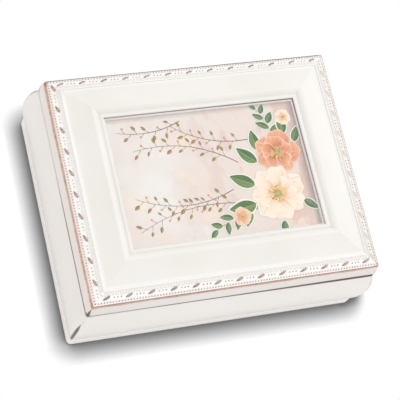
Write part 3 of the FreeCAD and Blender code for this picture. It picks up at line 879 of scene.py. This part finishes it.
def blossom(build, rng, at, radius, petals, whorls, deep, mid, pale):
    """Open blossom: whorls of overlapping petals round a mossy eye with a ring of stamens."""
    for whorl in range(whorls):
        size = radius * (1.0 - 0.27 * whorl)
        start = rng.uniform(0, 2 * math.pi)
        for k in range(petals):
            turn = start + 2 * math.pi * k / petals + rng.uniform(-0.09, 0.09)
            length = size * rng.uniform(0.93, 1.05)
            seed = rng.uniform(0.0, 20.0)

            def paint(t, w):
                tone = mix3(deep, mid, 2.1 * t - 0.25)
                tone = mix3(tone, pale, 1.5 * t - 0.55 + 0.25 * w)
                tone = mix3(tone, deep, 0.55 * max(0.0, -w) ** 3 * (1.15 - t))
                return mix3(tone, CREAM_PALE, 0.8 * abs(w) ** 9 + max(0.0, t - 0.93) * 9.0)

            blade(build, at, turn, length, length * 5.6 / petals, petal_shape, paint,
                  steps=16, ribs=8, frill=0.05, seed=seed)
    eye = radius * 0.13
    dot(build, at, eye * 1.5, mix3(deep, TWIG, 0.35), deep)
    lines = next(LEVELS)
    tips = next(LEVELS)
    for k in range(STAMENS):
        turn = 2 * math.pi * k / STAMENS + rng.uniform(-0.12, 0.12)
        reach = radius * rng.uniform(0.2, 0.34)
        tip = (at[0] + math.cos(turn) * reach, at[1] + math.sin(turn) * reach)
        blade(build, at, turn, reach, radius * 0.02, lambda t: 1.0,
              lambda t, w: mix3(GOLD, GOLD_PALE, t), steps=2, ribs=1, level=lines)
        dot(build, tip, radius * rng.uniform(0.022, 0.034), GOLD_PALE, GOLD, tips)
    dot(build, at, eye, mix3(MOSS, GOLD_PALE, 0.35), MOSS)


def leaf(build, rng, at, turn, length, dark, pale, margin=0.045):
    """Leaf with a pale midrib, slanting veins and a narrow white margin."""
    width = length * rng.uniform(0.44, 0.54)
    bend = rng.uniform(-0.25, 0.25)
    slant = rng.uniform(6.0, 8.0)
    edge = length * margin

    def paint(t, w):
        vein = math.cos(2 * math.pi * slant * (t - 0.18 * abs(w))) * 0.5 + 0.5
        tone = mix3(dark, pale, 0.12 + 0.5 * (w > 0) * (1.0 - 0.5 * t) + 0.3 * vein ** 5)
        return mix3(tone, LEAF_LIME, 0.7 * (abs(w) < 0.1))

    if margin:
        foot = (at[0] - math.cos(turn) * edge, at[1] - math.sin(turn) * edge)
        blade(build, foot, turn, length + 2.4 * edge, width + 2.4 * edge, leaf_shape,
              lambda t, w: PAPER_WHITE, bend)
    seed = rng.uniform(0.0, 20.0)
    blade(build, at, turn, length, width, leaf_shape, paint, bend, steps=22, ribs=8, seed=seed)


def bow(start, end, sag, t):
    """Point on a shallow bow between two points, and its heading there."""
    run = Vector(end) - Vector(start)
    off = Vector((-run.y, run.x)).normalized()
    spot = Vector(start) + run * t + off * (sag * 4 * t * (1 - t))
    slope = run + off * (sag * 4 * (1 - 2 * t))
    return spot, math.atan2(slope.y, slope.x)


def stem(build, start, end, sag, width, colour):
    """Thin printed stem that tapers along a bow."""
    points = []
    count = 24
    z = Z_CARD + next(LEVELS) * PRINT_STEP
    for i in range(count + 1):
        spot, heading = bow(start, end, sag, i / count)
        half = width / 2 * (1.0 - 0.6 * i / count)
        off = Vector((-math.sin(heading), math.cos(heading))) * half
        points += [Vector((*(spot - off), z)), Vector((*(spot + off), z))]
    faces = [(2 * i, 2 * i + 2, 2 * i + 3, 2 * i + 1) for i in range(count)]
    build.add(points, faces, [colour] * len(points))


def sprig(build, rng, start, end, sag, leaves, size, dark, pale):
    """Stem with leaves to either side that shrink towards its tip."""
    stem(build, start, end, sag, 0.55 * MM, TWIG)
    for k in range(leaves):
        t = 0.18 + 0.8 * k / leaves
        spot, heading = bow(start, end, sag, t)
        lean = 0.8 if k % 2 else -0.8
        leaf(build, rng, spot, heading + lean + rng.uniform(-0.15, 0.15), size * (1.1 - 0.5 * t), dark, pale)
    spot, heading = bow(start, end, sag, 0.98)
    leaf(build, rng, spot, heading, size * 0.6, dark, pale)


def tendril(build, rng, start, end, sag, count):
    """Fine brown and gold twig with tiny leaves and berries."""
    stem(build, start, end, sag, 0.42 * MM, TWIG)
    for k in range(count):
        t = 0.12 + 0.86 * k / count
        spot, heading = bow(start, end, sag, t)
        lean = 0.9 if k % 2 else -0.9
        turn = heading + lean + rng.uniform(-0.2, 0.2)
        reach = rng.uniform(2.2, 3.4) * MM
        tip = (spot.x + math.cos(turn) * reach, spot.y + math.sin(turn) * reach)
        stem(build, spot, tip, 0.2 * MM, 0.26 * MM, TWIG)
        if k % 3 == 2:
            dot(build, tip, 0.62 * MM, CORAL_PALE, CORAL)
        else:
            leaf(build, rng, tip, turn, rng.uniform(2.6, 3.6) * MM, TWIG, GOLD, 0.0)


def make_card_print(petal_ink, leaf_ink):
    """A spray of open blossoms towards the card's right, with fine twigs over the rest."""
    rng = random.Random(PRINT_DRAWS)
    green = Build()
    bloom = Build()

    def at(x, y):
        return x * MM, y * MM

    # Twigs from root to tip, with their sag in mm and their number of leaves and berries
    twigs = ((12, -18, -45, -27, -5, 17), (8, -10, -44, -9, 6, 16), (14, 4, -40, 16, -6, 16),
             (22, 16, -18, 28, 4, 12), (-12, 30, -46, 27, 3, 9))
    for x0, y0, x1, y1, sag, count in twigs:
        tendril(green, rng, at(x0, y0), at(x1, y1), sag * MM, count)
    sprig(green, rng, at(24, -22), at(-6, -31), -2.5 * MM, 7, 9.5 * MM, LEAF_GREEN, LEAF_PALE)
    sprig(green, rng, at(35, 14), at(30, 32), -2 * MM, 5, 8.5 * MM, LEAF_BLUE, LEAF_PALE)
    # Single leaves: foot, heading and length
    singles = ((18, -19, 3.45, 15), (20, -9, 2.75, 14), (24, 3, 2.5, 13), (44, -20, 5.6, 9),
               (46, 12, 0.9, 9), (31, -30, 4.4, 8), (42, 17, 1.5, 11), (27, 9, 2.0, 12))
    for x, y, turn, length in singles:
        leaf(green, rng, at(x, y), turn, length * MM, LEAF_GREEN if length > 11 else LEAF_BLUE, LEAF_PALE)
    blossom(bloom, rng, at(36, 7), 12.0 * MM, 5, 2, CORAL_DEEP, CORAL, CORAL_PALE)
    blossom(bloom, rng, at(31, -15), 15.0 * MM, 7, 2, CREAM_WARM, CREAM, CREAM_PALE)
    blossom(bloom, rng, at(9, -25), 5.0 * MM, 5, 1, CORAL, CORAL_PALE, CREAM)
    blossom(bloom, rng, at(44, 26), 4.6 * MM, 5, 1, CREAM_WARM, CREAM, CREAM_PALE)
    green.make("card_leaves", leaf_ink, "lid", "printed_card", False)
    bloom.make("card_blossoms", petal_ink, "lid", "printed_card", False)


def make_pane(material, lo, hi):
    """Clear sheet with eased edges between two corners."""
    work = bmesh.new()
    size = hi - lo
    middle = (hi + lo) / 2
    bmesh.ops.create_cube(work, size=1.0, matrix=Matrix.Translation(middle) @ Matrix.Diagonal((*size, 1.0)))
    bmesh.ops.bevel(work, geom=work.edges[:], offset=SHEET_EASE, segments=3, profile=0.5, affect="EDGES")
    mesh = bpy.data.meshes.new("acrylic_pane")
    work.to_mesh(mesh)
    work.free()
    mesh.materials.append(material)
    pane = link_new("acrylic_pane", mesh)
    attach(pane, "lid")
    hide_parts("pane")


def make_slip(material, low, high):
    """White slip under the lip: a plum line, a narrow flat strip and a face that leans down to the card."""
    build = Build()
    points = []
    paint = []
    mid = 0.7 * high + 0.3 * low
    # Inset from the sight edge, level and strength of the line, from the card up and round
    section = ((SLIP_LEAN, low, 0.0), (0.85 * SLIP_LEAN, mid, 0.0), (0.3 * SLIP_LEAN, high, 0.0),
               (0.2 * SLIP_LEAN, high, 0.9), (-SLIP_HIDDEN, high, 1.0), (-SLIP_HIDDEN, low, 0.0))
    # The line's share at each corner, from the front left to the right and round
    corner_line = (0.0, 0.1, 1.0, 0.4)
    for inset, z, line in section:
        x = SIGHT_X - inset
        y = SIGHT_Y - inset
        points += [Vector((-x, -y, z)), Vector((x, -y, z)), Vector((x, y, z)), Vector((-x, y, z))]
        paint += [(line * share, 0.0, 0.0) for share in corner_line]
    # The last ring joins the first
    faces = [tuple(i % len(points) for i in face) for face in ring_faces(len(section) + 1, 4)]
    build.add(points, faces, paint)
    build.make("sight_slip", material, "lid", "ivory_finish", False)


def crowned_panel(node, normal, body, material):
    """Velvet stretched over a padded card: rolled edges and a slight crown towards the room inside."""
    lo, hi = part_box(node)
    size = hi - lo
    thin = max(range(3), key=lambda k: abs(normal[k]))
    wide, tall = [k for k in range(3) if k != thin]
    sign = 1 if normal[thin] > 0 else -1
    depth = size[thin]
    roll = 1.1 * depth
    count = 28
    build = Build()
    points = []
    faces = []

    def spread(i):
        return 0.5 - 0.5 * math.cos(math.pi * i / count)

    for i in range(count + 1):
        for j in range(count + 1):
            p = spread(i)
            q = spread(j)
            to_edge = min(min(p, 1 - p) * size[wide], min(q, 1 - q) * size[tall])
            short = max(0.0, 1 - to_edge / roll)
            crown = (16 * p * (1 - p) * q * (1 - q)) ** 0.5
            rise = depth * (0.8 * math.sqrt(1 - short * short) + 0.2 * crown)
            spot = [0.0, 0.0, 0.0]
            spot[wide] = lo[wide] + p * size[wide]
            spot[tall] = lo[tall] + q * size[tall]
            spot[thin] = (lo if sign > 0 else hi)[thin] + sign * rise
            points.append(Vector(spot))
    row = count + 1
    for i in range(count):
        for j in range(count):
            a = i * row + j
            faces.append((a, a + row, a + row + 1, a + 1))
    rim = [i * row for i in range(row)] + [count * row + j for j in range(1, row)]
    rim += [i * row + count for i in range(count - 1, -1, -1)] + list(range(count - 1, 0, -1))
    faces.append(tuple(rim))
    axes = Matrix.Identity(3)
    if axes[wide].cross(axes[tall])[thin] * sign < 0:
        faces = [tuple(reversed(face)) for face in faces]
    build.add(points, faces, [(0, 0, 0)] * len(points))
    piece = build.make("velvet_" + node, material, body, "velvet")
    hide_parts(node)


def disc(build, centre, radius, low, high, ease):
    """Round pad with rolled rims."""
    turns = 40
    bend = 0.3 * ease
    profile = [(0.0, low), (radius - ease, low), (radius - bend, low + bend), (radius, low + ease),
               (radius, high - ease), (radius - bend, high - bend), (radius - ease, high), (0.0, high)]
    points = []
    for r, z in profile:
        for k in range(turns):
            turn = 2 * math.pi * k / turns
            out = r * (1.0 + 0.006 * math.sin(7 * turn + 40 * z / radius))
            points.append(Vector((centre.x + out * math.cos(turn), centre.y + out * math.sin(turn), z)))
    build.add(points, ring_faces(len(profile), turns), [(0, 0, 0)] * len(points))


def islands(node):
    """Lowest and highest corner of each loose solid in a CAD node, found by where it lies in plan."""
    groups = {}
    for v in nodes[node].data.vertices:
        groups.setdefault((v.co.x > 0, v.co.y > 0), []).append(v.co)
    for points in groups.values():
        lo = Vector(min(p[k] for p in points) for k in range(3))
        hi = Vector(max(p[k] for p in points) for k in range(3))
        yield lo, hi


def make_discs(name, node, body, slot, material, ease):
    build = Build()
    for lo, hi in islands(node):
        disc(build, (lo + hi) / 2, (hi.x - lo.x) / 2 * DISC_FIT, lo.z, hi.z, ease)
    piece = build.make(name, material, body, slot)
    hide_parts(node)
    return piece


def paint_node(node, material):
    slots = nodes[node].material_slots
    slots[0].link = "OBJECT"
    slots[0].material = material


velvet = velvet_finish()
brass = brass_finish()
paint_node("base_shell", base_finish())
paint_node("lid_frame", lid_finish())
paint_node("picture_card", card_finish())
paint_node("bottom_panel", board_finish("hardboard", *HARDBOARD))
paint_node("backing_board", board_finish("greyboard", *GREYBOARD))
for node in nodes:
    if node.startswith("hinge_"):
        paint_node(node, brass)

make_ornament(ornament_finish())
make_card_print(print_finish("petal_print", *PETAL_INK), print_finish("leaf_print", *LEAF_INK))

pane_lo, pane_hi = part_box("pane")
sheet_lo = Vector((pane_lo.x, pane_lo.y, pane_hi.z - SHEET_T))
make_pane(pane_finish(), sheet_lo, pane_hi)
make_slip(slip_finish(), Z_CARD, sheet_lo.z - SLIP_GAP)

for node, normal in (("lining_floor", (0, 0, 1)), ("lining_front", (0, 1, 0)), ("lining_back", (0, -1, 0)),
                     ("lining_left", (1, 0, 0)), ("lining_right", (-1, 0, 0))):
    crowned_panel(node, normal, "box", velvet)
crowned_panel("lid_lining", (0, 0, -1), "lid", velvet)

pads = make_discs("felt_pads", "foot_pads", "box", "felt", felt_finish(), PAD_EASE)
make_discs("rubber_bumpers", "rim_bumpers", "box", "soft_rubber", rubber_finish(), BUMPER_EASE)


# Floor, light and camera

def make_floor():
    """Pale floor, white to the eye, with the box's soft shadow where it stands close."""
    mesh = bpy.data.meshes.new("floor")
    far = 3.0
    mesh.from_pydata([(-far, -far, 0), (far, -far, 0), (far, far, 0), (-far, far, 0)], [], [(0, 1, 2, 3)])
    finish = Finish("floor", {"Roughness": 0.9, "Specular IOR Level": 0.0})
    tone = finish.noise(3.0, 2.0)
    mesh.materials.append(finish.done(finish.mix(tone, FLOOR, FLOOR_PALE)))
    nearby = finish.add("ShaderNodeAmbientOcclusion")
    nearby.samples = SHADOW_SAMPLES
    ahead = finish.y.fade(-HALF_D, -HALF_D - 6.0 * MM)
    right = finish.x.fade(72.0 * MM, 86.0 * MM)
    beside = right * finish.y.fade(-HALF_D - 7.0 * MM, -HALF_D + 1.0 * MM)
    reach = (ahead * SHADOW_AHEAD) + (beside * SHADOW_ASIDE) + SHADOW_REACH
    feed(finish.tree, reach, nearby.inputs["Distance"])
    depth = (right * SHADOW_DEPTH_RIGHT) + (beside * SHADOW_DEPTH_ASIDE) + SHADOW_DEPTH
    shade = Num(finish.tree, nearby.outputs["AO"]).flip() * depth
    shade = shade.least(1.0).power(SHADOW_CURVE)
    glow = finish.add("ShaderNodeEmission")
    feed(finish.tree, finish.mix(shade, WHITE, SHADOW_TONE), glow.inputs["Color"])
    path = finish.add("ShaderNodeLightPath")
    straight, mirrored, through = [Num(finish.tree, path.outputs["Is %s Ray" % kind])
                                   for kind in ("Camera", "Glossy", "Transmission")]
    finish.join(straight.most(mirrored).most(through), finish.shader, glow)
    floor = link_new("floor", mesh)


def make_light():
    lamp = bpy.data.lights.new("key", "AREA")
    lamp.shape = "DISK"
    lamp.size = KEY_SIZE
    lamp.energy = KEY_POWER
    light = link_new("key", lamp)
    light.location = KEY_AT
    light.rotation_euler = (KEY_AIM - KEY_AT).to_track_quat("-Z", "Y").to_euler()


def make_sky():
    world = bpy.data.worlds.new("studio")
    bpy.context.scene.world = world
    world.use_nodes = True
    back = world.node_tree.nodes["Background"]
    back.inputs["Color"].default_value = SKY_COLOUR
    back.inputs["Strength"].default_value = SKY_STRENGTH


def make_camera():
    lens = bpy.data.cameras.new("camera")
    lens.lens = CAMERA_LENS
    lens.sensor_width = CAMERA_SENSOR
    camera = link_new("camera", lens)
    camera.location = CAMERA_AT
    look = (CAMERA_AIM - CAMERA_AT).to_track_quat("-Z", "Y")
    camera.rotation_mode = "QUATERNION"
    camera.rotation_quaternion = look @ Quaternion((0, 0, 1), CAMERA_ROLL)
    bpy.context.scene.camera = camera


make_floor()
make_light()
make_sky()
make_camera()
bpy.context.scene.view_settings.view_transform = "Standard"
